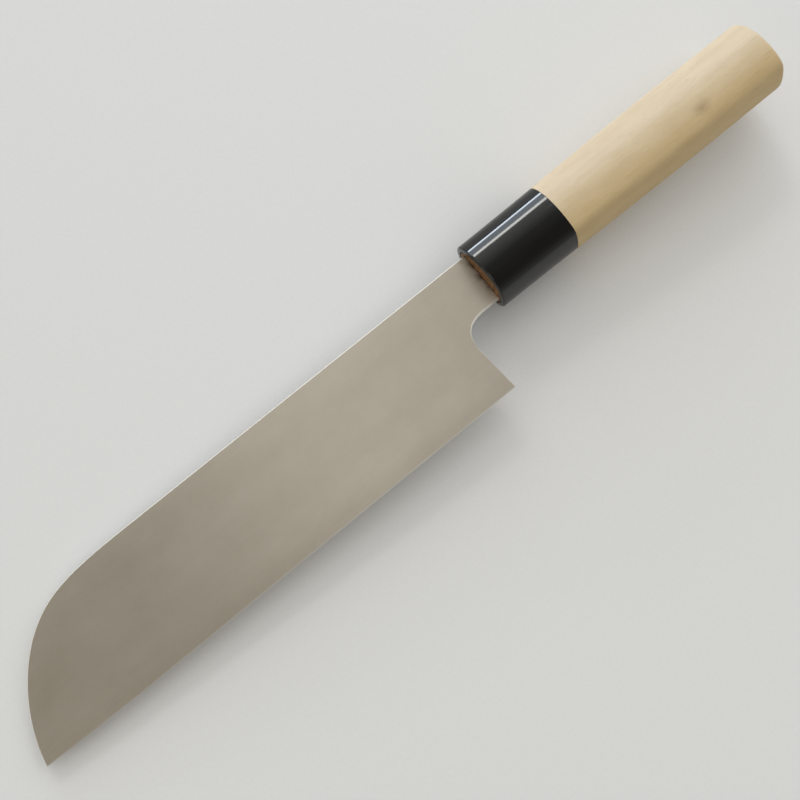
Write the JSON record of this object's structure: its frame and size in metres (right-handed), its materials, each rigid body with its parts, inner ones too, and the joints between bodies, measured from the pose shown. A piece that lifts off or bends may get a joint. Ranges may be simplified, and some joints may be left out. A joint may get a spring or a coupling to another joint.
{
  "type": "kamagata usuba",
  "caption": "Japanese vegetable knife with a tall straight-edged single-bevel blade, a sickle-shaped nose, a black ferrule and a plain D-section wooden handle, for peeling and chopping.",
  "frame": {"origin": "middle of the underside of the box around the knife as it lies on its side with the flat back up", "axes": "+X along the knife to the butt of the handle, +Y from the edge to the spine, +Z out of the blade's flat back"},
  "size_m": [0.3094, 0.0458, 0.0208],
  "materials": {
    "hard_steel": "fine satin polish along the blade",
    "soft_iron": "satin on the flats, hazy on the ground bevel",
    "black_horn": "polished black",
    "pale_wood": "sanded, unvarnished, fine straight grain",
    "dark_resin": "set resin"
  },
  "bodies": {
    "root": {"cutting_steel": "hard_steel", "iron_body": "soft_iron", "ferrule": "black_horn", "handle": "pale_wood", "tang_resin": "dark_resin"}
  },
  "joints": []
}
